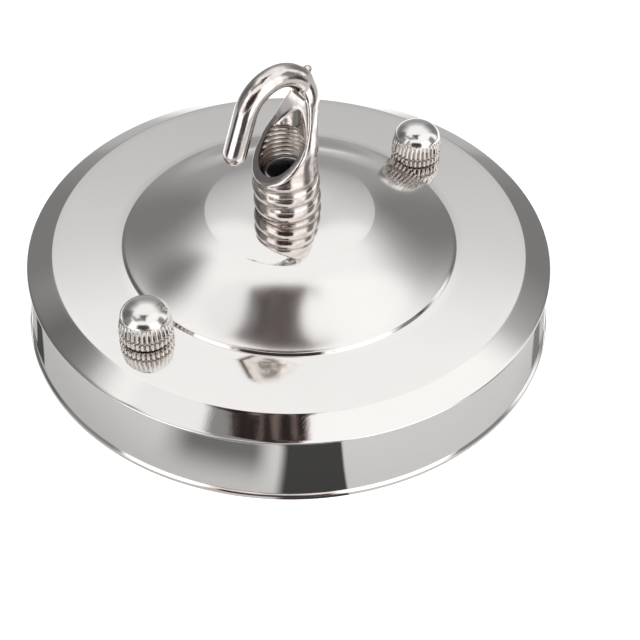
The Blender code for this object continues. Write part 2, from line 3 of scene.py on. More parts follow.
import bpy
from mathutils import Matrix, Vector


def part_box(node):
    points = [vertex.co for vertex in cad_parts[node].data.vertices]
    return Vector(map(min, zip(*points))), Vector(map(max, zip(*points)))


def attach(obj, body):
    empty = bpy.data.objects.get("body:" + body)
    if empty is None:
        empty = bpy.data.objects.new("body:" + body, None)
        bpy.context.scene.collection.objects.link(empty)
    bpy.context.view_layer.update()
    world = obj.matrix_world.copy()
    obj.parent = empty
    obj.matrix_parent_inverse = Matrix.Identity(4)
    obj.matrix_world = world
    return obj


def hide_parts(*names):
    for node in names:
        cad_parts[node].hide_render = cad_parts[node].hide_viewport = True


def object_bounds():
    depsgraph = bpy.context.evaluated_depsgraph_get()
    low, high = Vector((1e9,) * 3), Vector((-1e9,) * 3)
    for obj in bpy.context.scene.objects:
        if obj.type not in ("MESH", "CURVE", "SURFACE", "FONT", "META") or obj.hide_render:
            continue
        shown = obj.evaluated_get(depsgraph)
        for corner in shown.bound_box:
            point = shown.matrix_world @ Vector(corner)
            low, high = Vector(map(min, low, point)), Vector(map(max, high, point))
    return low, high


bl_info = {
    "name": "Ceiling Hook Plate",
    "version": (1, 0, 0),
    "blender": (4, 5, 0),
    "location": "3D View > Sidebar > Hook Plate",
    "description": "Builds the polished pieces, finishes and studio of a ceiling hook plate",
    "category": "Object",
}

from math import cos, hypot, pi, radians, sin, tan

import bmesh
import bpy
from bpy.props import FloatProperty, FloatVectorProperty, IntProperty, PointerProperty
from mathutils import Matrix, Vector

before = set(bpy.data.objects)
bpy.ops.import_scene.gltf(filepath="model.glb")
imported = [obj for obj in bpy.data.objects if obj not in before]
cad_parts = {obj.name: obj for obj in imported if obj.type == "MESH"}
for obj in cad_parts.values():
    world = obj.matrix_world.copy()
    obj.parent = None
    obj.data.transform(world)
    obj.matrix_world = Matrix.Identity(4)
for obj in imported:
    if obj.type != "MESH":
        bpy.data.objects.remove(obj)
CAD_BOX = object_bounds()
MM = 0.001


def node_centre(name):
    """Middle of a node's box."""
    low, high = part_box(name)
    return [(a + b) / 2 for a, b in zip(low, high)]


COVER_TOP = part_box("canopy_cover")[1][2]
NUT_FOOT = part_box("cap_nut_right")[0][2]
NUT_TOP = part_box("cap_nut_right")[1][2]


# Settings

def length_setting(name, description, default):
    return FloatProperty(name=name, description=description, default=default, unit='LENGTH', precision=5)


def angle_setting(name, description, degrees):
    return FloatProperty(name=name, description=description, default=radians(degrees), subtype='ANGLE')


def colour_setting(name, description, default):
    return FloatVectorProperty(name=name, description=description, default=default, subtype='COLOR', min=0, max=1)


class CoverSettings(bpy.types.PropertyGroup):
    """The pressed cover: its outside form from the hook's seat down to the rim."""
    sheet: length_setting("Sheet", "Thickness of the sheet", 0.8 * MM)
    segments: IntProperty(name="Segments", description="Steps round the cover", default=288, min=48)
    hole_radius: length_setting("Screw Hole", "Radius of the two screw holes", 2.37 * MM)
    ring_edge: length_setting("Ring Edge", "Fillet where the ring turns into the shoulder", 0.55 * MM)


class HookSettings(bpy.types.PropertyGroup):
    """The cast hook, in its own frame with the tip towards +X."""
    turn: angle_setting("Turn", "Direction of the tip round the cover's axis", 170)
    lean: angle_setting("Lean", "How far the hook stands out of plumb", 3.8)
    lean_toward: angle_setting("Lean Toward", "Direction in which it leans", 134)
    bar_radius: length_setting("Bar Radius", "Radius of the hook's round bar", 2.3 * MM)
    voxel: length_setting("Casting Grain", "Size of the cells the casting is blended with", 0.19 * MM)
    thread_pitch: length_setting("Thread Pitch", "Pitch of the socket's thread", 1.0 * MM)


class CapNutSettings(bpy.types.PropertyGroup):
    """The two knurled cap nuts."""
    teeth: IntProperty(name="Teeth", description="Knurl teeth round each nut", default=32, min=12)
    steps: IntProperty(name="Steps", description="Columns of faces for each tooth", default=8, min=4)
    depth: length_setting("Flute Depth", "Depth of the flutes between the teeth", 0.42 * MM)


class FinishSettings(bpy.types.PropertyGroup):
    """Colours and polish of the metals."""
    nickel: colour_setting("Nickel", "Colour of the bright plating", (0.87, 0.85, 0.83))
    # the warm colour below is painted shade, mixed into the plating in its recesses
    painted_recess_shade: colour_setting("Painted_Shade", "Warm tint in recesses of the plating", (0.34, 0.27, 0.23))
    casting: colour_setting("Casting", "Colour of the plated casting", (0.80, 0.745, 0.715))
    zinc: colour_setting("Zinc", "Colour of the zinc plated steel", (0.62, 0.64, 0.66))
    polish: FloatProperty(name="Polish", description="Roughness of the bright plating", default=0.045, min=0, max=1)


class StudioSettings(bpy.types.PropertyGroup):
    """Camera, light and floor."""
    focal_length: FloatProperty(name="Focal Length", description="Lens in millimetres on a 36 mm sensor",
                                default=90.19, min=1)
    distance: length_setting("Distance", "From the lens to the middle of the rim", 331.78 * MM)
    elevation: angle_setting("Elevation", "Camera's height above the rim as an angle", 43.54)
    roll: angle_setting("Roll", "Camera's roll", 1.43)
    azimuth: angle_setting("Azimuth", "Camera's way round from -Y, anticlockwise from above", -45.8)
    aim_right: length_setting("Aim Right", "Where the camera looks, right of the rim's middle", 6.39 * MM)
    aim_up: length_setting("Aim Up", "Where the camera looks, above the rim's middle", -3.95 * MM)


SETTINGS = {"hook_plate_cover": CoverSettings, "hook_plate_hook": HookSettings,
            "hook_plate_nuts": CapNutSettings, "hook_plate_finish": FinishSettings,
            "hook_plate_studio": StudioSettings}


# Mesh helpers

def clamp(value, low=0.0):
    return min(1.0, max(low, value))


def shade(mesh, sharp):
    """Smooth shading, with edges steeper than this angle left sharp."""
    mesh.shade_smooth()
    mesh.set_sharp_from_angle(angle=sharp)


def new_object(name, mesh, smooth=True, sharp=radians(50)):
    obj = bpy.data.objects.new(name, mesh)
    bpy.context.scene.collection.objects.link(obj)
    if smooth:
        shade(mesh, sharp)
    return obj


def bmesh_form(name, make, **sizes):
    """A mesh made by one of bmesh's own operators."""
    mesh = bpy.data.meshes.new(name)
    work = bmesh.new()
    make(work, **sizes)
    work.to_mesh(mesh)
    work.free()
    return mesh


def face_outwards(mesh):
    work = bmesh.new()
    work.from_mesh(mesh)
    bmesh.ops.recalc_face_normals(work, faces=work.faces)
    work.to_mesh(mesh)
    work.free()
    return mesh


def grid_mesh(name, rows, cap_first=False, cap_last=False, close_rows=False):
    """Quads between rows of points that each run round once; ends may be capped by a fan."""
    width = len(rows[0])
    verts = [point for row in rows for point in row]
    faces = []
    count = len(rows)
    for i in range(count if close_rows else count - 1):
        a, b = i * width, ((i + 1) % count) * width
        for j in range(width):
            k = (j + 1) % width
            faces.append((a + j, b + j, b + k, a + k))
    for wanted, row, flip in ((cap_first, 0, False), (cap_last, count - 1, True)):
        if wanted:
            start = row * width
            centre = [sum(p[axis] for p in rows[row]) / width for axis in range(3)]
            verts.append(tuple(centre))
            hub = len(verts) - 1
            for j in range(width):
                k = (j + 1) % width
                faces.append((hub, start + k, start + j) if flip else (hub, start + j, start + k))
    mesh = bpy.data.meshes.new(name)
    mesh.from_pydata(verts, [], faces)
    return face_outwards(mesh)


def solid(name, rows, **shading):
    """A closed object from rows of points, both ends capped."""
    return new_object(name, grid_mesh(name, rows, True, True), **shading)


def turned_rows(profile, segments, radius_at=None):
    """Rows for grid_mesh from (radius, height) points, with an optional change of radius."""
    rows = []
    for radius, height in profile:
        row = []
        for j in range(segments):
            angle = 2 * pi * j / segments
            r = radius_at(radius, height, angle) if radius_at else radius
            row.append((r * cos(angle), r * sin(angle), height))
        rows.append(row)
    return rows


def quarter(steps):
    """Angles of a quarter turn, without its start."""
    return [pi / 2 * i / steps for i in range(1, steps + 1)]


def filleted(corners, steps=8):
    """A polyline through (x, y, fillet radius) corners, with each corner rounded."""
    path = [corners[0][:2]]
    for before, corner, after in zip(corners, corners[1:], corners[2:]):
        here = Vector(corner[:2])
        back, ahead = Vector(before[:2]) - here, Vector(after[:2]) - here
        if corner[2] <= 0:
            path.append(tuple(here))
            continue
        bend = back.angle(ahead)
        cut = min(corner[2] / tan(bend / 2), back.length * 0.49, ahead.length * 0.49)
        radius = cut * tan(bend / 2)
        back.normalize()
        ahead.normalize()
        centre = here + (back + ahead).normalized() * (radius / sin(bend / 2))
        start, end = here + back * cut - centre, here + ahead * cut - centre
        for i in range(steps + 1):
            path.append(tuple(centre + start.slerp(end, i / steps) * radius))
    path.append(corners[-1][:2])
    return path


def between(a, b, steps):
    """Corners without a fillet, evenly between two points."""
    return [(a[0] + (b[0] - a[0]) * i / steps, a[1] + (b[1] - a[1]) * i / steps, 0) for i in range(1, steps)]


def bezier(a, b, c, d, steps):
    """Points of a cubic curve in the plane."""
    points = []
    for i in range(steps + 1):
        t = i / steps
        w = ((1 - t) ** 3, 3 * t * (1 - t) ** 2, 3 * t * t * (1 - t), t ** 3)
        points.append(tuple(sum(k * p[axis] for k, p in zip(w, (a, b, c, d))) for axis in (0, 1)))
    return points


def add_modifier(obj, name, kind, **settings):
    modifier = obj.modifiers.new(name, kind)
    for key, value in settings.items():
        setattr(modifier, key, value)


def apply_modifiers(obj):
    """Bake the object's modifiers into its mesh."""
    depsgraph = bpy.context.evaluated_depsgraph_get()
    mesh = bpy.data.meshes.new_from_object(obj.evaluated_get(depsgraph))
    obj.modifiers.clear()
    old = obj.data
    obj.data = mesh
    bpy.data.meshes.remove(old)


def boolean(obj, cutter, operation='DIFFERENCE'):
    """Join or cut with another object, which is used up."""
    add_modifier(obj, cutter.name, 'BOOLEAN', operation=operation, solver='MANIFOLD', object=cutter)
    apply_modifiers(obj)
    mesh = cutter.data
    bpy.data.objects.remove(cutter, do_unlink=True)
    bpy.data.meshes.remove(mesh)


def swept_rows(stations, sides=48):
    """Circles along (x, z, radius) stations in the XZ plane, square to the path."""
    rows = []
    for i, (x, z, radius) in enumerate(stations):
        before, after = stations[max(i - 1, 0)], stations[min(i + 1, len(stations) - 1)]
        along = Vector((after[0] - before[0], after[1] - before[1])).normalized()
        rows.append([(x + radius * cos(2 * pi * j / sides) * along[1], radius * sin(2 * pi * j / sides),
                      z - radius * cos(2 * pi * j / sides) * along[0]) for j in range(sides)])
    return rows


def smooth_stations(stations, steps=6):
    """Catmull-Rom curve through the stations."""
    out = []
    for i in range(len(stations) - 1):
        p = [stations[max(i - 1, 0)], stations[i], stations[i + 1], stations[min(i + 2, len(stations) - 1)]]
        for s in range(steps):
            t = s / steps
            out.append(tuple(0.5 * (2 * b + (c - a) * t + (2 * a - 5 * b + 4 * c - d) * t * t
                                    + (3 * b - a - 3 * c + d) * t ** 3) for a, b, c, d in zip(*p)))
    out.append(stations[-1])
    return out


def thread_radius(root, crest, pitch, fade_from=None, fade_to=None):
    """A radius function for a helical thread; it fades between the two heights."""
    def radius_at(radius, height, angle):
        phase = (height / pitch - angle / (2 * pi)) % 1.0
        ridge = 1 - abs(2 * phase - 1)
        ridge = clamp((ridge - 0.10) / 0.72)
        level = root + (crest - root) * ridge
        if fade_from is not None:
            fade = clamp((height - fade_from) / (fade_to - fade_from))
            level += (root - level) * fade
        return level if radius > root * 0.98 else radius
    return radius_at


# Node helpers

class Value:
    """An output in a node tree; sums on it become math nodes."""

    def __init__(self, socket):
        self.socket, self.tree = socket, socket.id_data

    def __add__(self, other):
        return maths('ADD', self, other)

    def __sub__(self, other):
        return maths('SUBTRACT', self, other)

    def __rsub__(self, other):
        return maths('SUBTRACT', other, self)

    def __mul__(self, other):
        return maths('MULTIPLY', self, other)

    def __abs__(self):
        return maths('ABSOLUTE', self)

    __radd__, __rmul__ = __add__, __mul__


def put(value, socket):
    """Link a value to the socket, or set the socket to a plain number or colour."""
    if isinstance(value, Value):
        value.tree.links.new(value.socket, socket)
    else:
        socket.default_value = value


def read(node, name=0):
    return Value(node.outputs[name])


def new_node(tree, kind, inputs, **settings):
    """A node with these settings, its inputs set or linked."""
    node = tree.nodes.new(kind)
    for name, value in settings.items():
        setattr(node, name, value)
    for name, value in inputs.items():
        put(value, node.inputs[name])
    return node


def maths(operation, *values, limit=False):
    """A sum on values and numbers; limit keeps the result between 0 and 1."""
    tree = next(value.tree for value in values if isinstance(value, Value))
    return read(new_node(tree, 'ShaderNodeMath', dict(enumerate(values)), operation=operation, use_clamp=limit))


def smooth_step(value, low, high, to_low=0.0, to_high=1.0):
    ends = {'From Min': low, 'From Max': high, 'To Min': to_low, 'To Max': to_high}
    return read(new_node(value.tree, 'ShaderNodeMapRange', {'Value': value, **ends}, interpolation_type='SMOOTHSTEP'))


def blend(below, above, mask):
    """below where the mask is 0, above where it is 1."""
    return (above - below) * mask + below


def window(*edges):
    """Product of smooth steps, each given as (value, where it is 0, where it is 1)."""
    mask = smooth_step(*edges[0])
    for edge in edges[1:]:
        mask = mask * smooth_step(*edge)
    return mask


def noise(coords, scale, detail=3.0, rough=0.5, distortion=0.0):
    return read(new_node(coords.tree, 'ShaderNodeTexNoise', {
        'Vector': coords, 'Scale': scale, 'Detail': detail, 'Roughness': rough, 'Distortion': distortion}))


def mix_colour(factor, first, second):
    """The first colour where the factor is 0, the second where it is 1."""
    first, second = (c if isinstance(c, Value) else (*c, 1.0) for c in (first, second))
    node = new_node(factor.tree, 'ShaderNodeMix', {}, data_type='RGBA')
    for value, socket in ((factor, 'Factor'), (first, 6), (second, 7)):
        put(value, node.inputs[socket])
    return read(node, 2)


def coordinates(tree, kind):
    return read(tree.nodes.new('ShaderNodeTexCoord'), kind)


def attribute_value(tree, name):
    """A value that the mesh carries by this name, 0 where it has none."""
    return read(new_node(tree, 'ShaderNodeAttribute', {}, attribute_name=name), 'Fac')


def group_tree(name, inputs, outputs):
    """A shader node group of numbers: its tree, its inputs by name, and its output node."""
    tree = bpy.data.node_groups.new(name, 'ShaderNodeTree')
    for label, default in inputs.items():
        tree.interface.new_socket(name=label, in_out='INPUT', socket_type='NodeSocketFloat').default_value = default
    for label in outputs:
        tree.interface.new_socket(name=label, in_out='OUTPUT', socket_type='NodeSocketFloat')
    inside = tree.nodes.new('NodeGroupInput')
    return tree, {label: read(inside, label) for label in inputs}, tree.nodes.new('NodeGroupOutput')


def polish_group():
    """Buffed plating: fine wipe marks, a soft haze, tiny specks, as masks and a height."""
    tree, given, out = group_tree(
        "buffed_plating", {"Haze Scale": 60.0, "Mark Scale": 900.0, "Speck Scale": 700.0, "Speck Size": 0.06},
        ("Haze", "Marks", "Specks", "Height"))
    coords = coordinates(tree, 'Object')
    haze = noise(coords, given["Haze Scale"], 4.0, 0.55)
    stretch = new_node(tree, 'ShaderNodeMapping',
                       {'Vector': coords, 'Scale': (1.0, 6.0, 1.0), 'Rotation': (0.3, 0.2, 0.9)})
    marks = noise(read(stretch), given["Mark Scale"], 2.0, 0.6)
    cells = new_node(tree, 'ShaderNodeTexVoronoi', {'Vector': coords, 'Scale': given["Speck Scale"]})
    speck = maths('MULTIPLY', given["Speck Size"] - read(cells, 'Distance'), 30.0, limit=True)
    speck = speck * maths('GREATER_THAN', read(cells, 'Color'), 0.62)
    for label, value in (("Haze", haze), ("Marks", marks), ("Specks", speck), ("Height", marks * 0.5 + haze)):
        put(value, out.inputs[label])
    return tree


def casting_group():
    """As-cast skin under plating: soft lumps, fine pits, as a height and a mask of dull patches."""
    tree, given, out = group_tree("casting_skin", {"Lump Scale": 420.0, "Pit Scale": 2600.0}, ("Height", "Dull"))
    coords = coordinates(tree, 'Object')
    lumps = noise(coords, given["Lump Scale"], 3.0, 0.55, 0.4)
    put(noise(coords, given["Pit Scale"], 3.0, 0.6) * 0.18 + lumps, out.inputs["Height"])
    put(smooth_step(lumps, 0.45, 0.7), out.inputs["Dull"])
    return tree


GROUPS = {}  # shared node groups, filled by the finishes' operator
SPECK = (0.3, 0.29, 0.28)  # pinholes in the bright plating


def shared(tree, name, **values):
    """One use of a shared node group, with some of its inputs set."""
    return new_node(tree, 'ShaderNodeGroup', {key.replace("_", " "): value for key, value in values.items()},
                    node_tree=GROUPS[name])


def new_material(name):
    """A new material with its tree and its main shader."""
    material = bpy.data.materials.new(name)
    material.use_nodes = True
    return material, material.node_tree, material.node_tree.nodes["Principled BSDF"]


def metal(shader, colour, rough, height, strength, distance):
    """Make the shader a metal with this colour, roughness and bump."""
    bump = new_node(shader.id_data, 'ShaderNodeBump', {'Strength': strength, 'Distance': distance, 'Height': height})
    for value, name in ((colour, 'Base Color'), (1.0, 'Metallic'), (rough, 'Roughness'), (read(bump), 'Normal')):
        put(value, shader.inputs[name])


def shades(colour, dark):
    """The colour and a darker one."""
    return tuple(colour), tuple(c * dark for c in colour)


def bright_plating(name, finish, roughness, recess_shade_amount=0.0, wave=0.02 * MM):
    """Mirror nickel-chrome: haze and specks, rougher on 'buff', darkened with painted shade where the mesh says
    'recess'.
    """
    _, tree, shader = new_material(name)
    polish = shared(tree, "buffed_plating")
    haze, specks = read(polish, 'Haze'), read(polish, 'Specks')
    colour = mix_colour(haze, *shades(finish.nickel, 0.93))
    if recess_shade_amount:
        # painted shade: the recess mask darkens the plating towards the warm shade colour
        amount = maths('MULTIPLY', attribute_value(tree, "recess"), recess_shade_amount, limit=True)
        colour = mix_colour(amount, colour, tuple(finish.painted_recess_shade))
    colour = mix_colour(specks * 0.35, colour, SPECK)
    rough = haze * (roughness * 0.9) + roughness * 0.5 + attribute_value(tree, "buff") * 0.10 + specks * 0.3
    metal(shader, colour, rough, read(polish, 'Height'), 0.25, wave)


def cast_plating(name, finish):
    """Plated zinc casting: mirror with soft lumps, dull patches and painted brown shade in its recesses."""
    _, tree, shader = new_material(name)
    skin = shared(tree, "casting_skin")
    polish = shared(tree, "buffed_plating", Speck_Scale=1500.0, Haze_Scale=240.0)
    recess, dull = attribute_value(tree, "recess"), read(skin, 'Dull')
    # painted brown shade in the socket's thread and between the barrel's rings
    brown = maths('MULTIPLY', recess * read(polish, 'Haze'), 1.5, limit=True)
    colour = mix_colour(brown, mix_colour(dull, *shades(finish.casting, 0.80)), tuple(finish.painted_recess_shade))
    metal(shader, colour, dull * 0.10 + finish.polish * 2.3 + recess * 0.22, read(skin, 'Height'), 0.6, 0.06 * MM)


def zinc_plating(name, finish):
    """Plain zinc plated steel for the hidden hardware, with rolling marks."""
    _, tree, shader = new_material(name)
    skin = shared(tree, "casting_skin", Lump_Scale=260.0, Pit_Scale=3200.0)
    marks = read(shared(tree, "buffed_plating", Mark_Scale=1500.0, Haze_Scale=120.0), 'Marks')
    colour = mix_colour(read(skin, 'Dull'), *shades(finish.zinc, 0.78))
    metal(shader, colour, marks * 0.22 + 0.2, marks, 0.3, 0.03 * MM)


def set_material(obj, material):
    obj.data.materials.clear()
    obj.data.materials.append(material)


def store_mask(obj, name, value_at):
    """Write a float per vertex that materials read by its name: 'recess' or 'buff'."""
    layer = obj.data.attributes.new(name, 'FLOAT', 'POINT')
    layer.data.foreach_set("value", [value_at(v) for v in obj.data.vertices])


# Pieces

SEAT_RADIUS = 7.2 * MM  # flat under the hook
PLATEAU_RADIUS, PLATEAU_DROP = 16.7 * MM, 0.8 * MM
DOME_FOOT = (32.8 * MM, 17.8 * MM)
RING_INNER = (33.15 * MM, 17.1 * MM)
RING_OUTER = (47 * MM, 16.9 * MM)
SHOULDER_FOOT = (52.2 * MM, 14.5 * MM)
WALL_TOP = (51.55 * MM, 13.35 * MM)
WALL_FOOT = (52.4 * MM, 1.1 * MM)
RIM_RADIUS = 52.9 * MM


def cover_outside(ring_edge):
    """The cover's outside from the hook's seat to the rim, as (radius, height) points with rounded edges."""
    width = PLATEAU_RADIUS - SEAT_RADIUS
    plateau = [(SEAT_RADIUS + width * i / 12, COVER_TOP - PLATEAU_DROP * (i / 12) ** 2) for i in range(1, 12)]
    edge = (PLATEAU_RADIUS, COVER_TOP - PLATEAU_DROP)
    run = DOME_FOOT[0] - edge[0]
    upper, lower = run * 0.36, run * 0.30
    slope = bezier(edge, (edge[0] + upper, edge[1] - upper * tan(radians(16))),
                   (DOME_FOOT[0] - lower, DOME_FOOT[1] + lower * tan(radians(20))), DOME_FOOT, 26)
    corners = [(5.4 * MM, COVER_TOP, 0), (SEAT_RADIUS, COVER_TOP, 0)]
    corners += [(*p, 0) for p in plateau]
    corners += [(*edge, 1.0 * MM)] + [(*p, 0) for p in slope[1:-1]]
    corners += [(*DOME_FOOT, 0.25 * MM), (*RING_INNER, 0.35 * MM)]
    corners += [(RING_OUTER[0] - i * 1.7 * MM, RING_OUTER[1] + 0.2 * MM * i * 1.7 / 13.8, 0) for i in range(7, 0, -1)]
    corners += [(*RING_OUTER, ring_edge)] + between(RING_OUTER, SHOULDER_FOOT, 8)
    corners += [(*SHOULDER_FOOT, 0.45 * MM), (SHOULDER_FOOT[0], 14.1 * MM, 0.15 * MM)]
    corners += [(51.75 * MM, 13.75 * MM, 0.1 * MM), (*WALL_TOP, 0.3 * MM)] + between(WALL_TOP, WALL_FOOT, 8)
    corners += [(*WALL_FOOT, 0.15 * MM), (52.62 * MM, 0.9 * MM, 0.1 * MM),
                (RIM_RADIUS, 0.62 * MM, 0.2 * MM), (RIM_RADIUS, 0.0, 0)]
    return filleted(corners, 5)


def offset_inwards(outside, thickness):
    """The path's broad run moved square to itself, to the cover's inner side."""
    path = [outside[0]]
    for point in outside[1:-1]:
        if hypot(point[0] - path[-1][0], point[1] - path[-1][1]) > thickness * 1.2:
            path.append(point)
    path.append(outside[-1])
    out = []
    for i, (r, z) in enumerate(path):
        a, b = path[max(i - 1, 0)], path[min(i + 1, len(path) - 1)]
        along = Vector((b[0] - a[0], b[1] - a[1]))
        along = along.normalized() if along.length else Vector((0, -1))
        out.append((r + along[1] * thickness, z - along[0] * thickness))
    return out


def buffed(vertex):
    """1 on the dome's slope, which is polished less finely than the rest, and 0 elsewhere."""
    out = hypot(vertex.co.x, vertex.co.y)
    return clamp(min((33.5 * MM - out) / (2.0 * MM), (out - 16.5 * MM) / (3.0 * MM)))


class HOOKPLATE_OT_finishes(bpy.types.Operator):
    """Make the metals of the hook plate"""
    bl_idname = "hook_plate.finishes"
    bl_label = "Finishes"

    def execute(self, context):
        finish = context.scene.hook_plate_finish
        GROUPS["buffed_plating"] = polish_group()
        GROUPS["casting_skin"] = casting_group()
        bright_plating("polished_cover_plating", finish, finish.polish)
        bright_plating("knurled_nut_plating", finish, finish.polish * 4.0, 0.8, 0.03 * MM)
        cast_plating("hook_casting_plating", finish)
        zinc_plating("zinc_hardware_plating", finish)
        return {'FINISHED'}


class HOOKPLATE_OT_cover(bpy.types.Operator):
    """Build the pressed and polished cover"""
    bl_idname = "hook_plate.cover"
    bl_label = "Cover"

    def execute(self, context):
        settings = context.scene.hook_plate_cover
        outside = cover_outside(settings.ring_edge)
        inside = offset_inwards(outside, settings.sheet)
        inside[-1] = (inside[-1][0], outside[-1][1])
        inside = [(r, max(z, outside[-1][1])) for r, z in inside]
        rows = turned_rows(outside + inside[::-1], settings.segments)
        cover = new_object("pressed_cover", grid_mesh("pressed_cover", rows, close_rows=True))
        hole = settings.hole_radius
        for name in ("cap_nut_left", "cap_nut_right"):
            centre = node_centre(name)
            plug = solid("screw_hole", turned_rows([(hole, NUT_FOOT + 2 * MM), (hole, NUT_FOOT - 4 * MM)], 48),
                         smooth=False)
            plug.location = (centre[0], centre[1], 0)
            context.view_layer.update()
            boolean(cover, plug)
        shade(cover.data, radians(50))
        set_material(cover, bpy.data.materials["polished_cover_plating"])
        store_mask(cover, "buff", buffed)
        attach(cover, "cover")
        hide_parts("canopy_cover")
        return {'FINISHED'}


# The hook in its own frame: its foot at 0, its tip towards +X
RING_PITCH = 3.7 * MM
RING_BULGE = 0.5 * MM
GROOVE = 6.1 * MM  # radius between the barrel's rings
BARREL = 2 * RING_PITCH
HORN = 6.4 * MM  # radius of the casting round the window
LIP = 8.6 * MM  # lowest point of the window's rim
CHEEK = 20.8 * MM
CHEEK_TOP = (-4.3 * MM, 24.0 * MM)
BIGHT = 7.6 * MM  # the hook's curve, to the middle of the bar
BACK = 6.8 * MM  # the same towards the spine
BIGHT_HEIGHT = 22.5 * MM
BIGHT_REACH = 0.5 * MM
ARM = 8.4 * MM
SPLAY = radians(22.5)
# Spine above the window: shares of the way back, of the rise from lip to cheek, and of the casting's radius
SPINE = ((0.0, 0.25, 1.0), (0.11, 0.50, 0.99), (0.30, 0.75, 0.87), (0.53, 0.95, 0.73), (0.74, 1.10, 0.58),
         (0.89, 1.22, 0.46))
NUB_RADIUS, NUB_ANGLE = 0.9 * MM, radians(142)
SCOOP, SCOOP_ASIDE = 5.0 * MM, 0.9 * MM
SEAM = 0.42 * MM  # radius of the casting seam's bead
SOCKET_DEPTH = 16.0 * MM
TAP_CREST, TAP_ROOT = 4.42 * MM, 4.95 * MM
SEAT_CLEARANCE = 0.02 * MM


def hook_matrix(settings):
    """Place of the hook's own frame: turned, leaning, its foot on the cover."""
    lift = 0.3 * MM + GROOVE * sin(settings.lean)
    shift = 0.4 * MM
    foot = (shift * cos(settings.lean_toward), shift * sin(settings.lean_toward), COVER_TOP + lift)
    return (Matrix.Translation(foot) @ Matrix.Rotation(settings.lean_toward, 4, 'Z')
            @ Matrix.Rotation(settings.lean, 4, 'Y')
            @ Matrix.Rotation(settings.turn - settings.lean_toward, 4, 'Z'))


def horn_stations(bar):
    """Spine, bight and arm as (x, z, radius) in the hook's frame."""
    rise = CHEEK - LIP
    back = BIGHT_REACH - BACK
    stations = [(0.0, BARREL * 0.45, GROOVE * 0.92), (0.0, BARREL * 0.90, GROOVE * 0.95),
                (0.0, BARREL, GROOVE * 0.985), (0.0, BARREL + RING_PITCH * 0.16, HORN * 0.985),
                (0.0, BARREL + RING_PITCH * 0.34, HORN)]
    stations += [(back * x, LIP + rise * z, HORN * radius) for x, z, radius in SPINE]
    first = radians(150)
    for i in range(15):
        angle = first + (SPLAY - first) * i / 14
        reach = BACK if angle > pi / 2 else BIGHT
        stations.append((BIGHT_REACH + reach * cos(angle), BIGHT_HEIGHT + BIGHT * sin(angle), bar))
    x, z = stations[-1][:2]
    stations += [(x + ARM * s * sin(SPLAY), z - ARM * s * cos(SPLAY), bar) for s in (0.35, 0.7, 1.0)]
    return stations


def rounded_end(stations, bar, steps=7):
    """The stations with the round tip of the bar added."""
    (ax, az, _), (x, z, _) = stations[-2:]
    run = hypot(x - ax, z - az)
    along = ((x - ax) / run, (z - az) / run)
    end = []
    for i in range(1, steps + 1):
        angle = pi / 2 * i / (steps + 0.3)
        end.append((x + along[0] * bar * sin(angle), z + along[1] * bar * sin(angle), bar * cos(angle)))
    return stations + end


def face_points(bar):
    """Side view of the window's cut, up to where the cheeks run into the bar."""
    front = HORN * 1.08
    rise = CHEEK - LIP
    start = (front, LIP - (front - HORN) * 0.6)
    rim = bezier(start, (front * 0.45, LIP + rise * 0.20), (-2.9 * MM, LIP + rise * 0.64), CHEEK_TOP, 20)
    under = [(BIGHT_REACH + (BACK - bar * 0.97) * cos(a), BIGHT_HEIGHT + (BIGHT - bar * 0.97) * sin(a))
             for a in [radians(150 - 7.5 * i) for i in range(21)]]
    return rim + under + [(front, LIP + rise * 0.45)]


def prism(name, points, half_width):
    """A cutter with this outline in the XZ plane."""
    rows = [[(x, side * half_width, z) for x, z in points] for side in (-1, 1)]
    mesh = bpy.data.meshes.new(name)
    count = len(points)
    faces = [tuple(range(count)), tuple(range(2 * count - 1, count - 1, -1))]
    faces += [(i, i + count, (i + 1) % count + count, (i + 1) % count) for i in range(count)]
    mesh.from_pydata(rows[0] + rows[1], [], faces)
    return new_object(name, face_outwards(mesh), smooth=False)


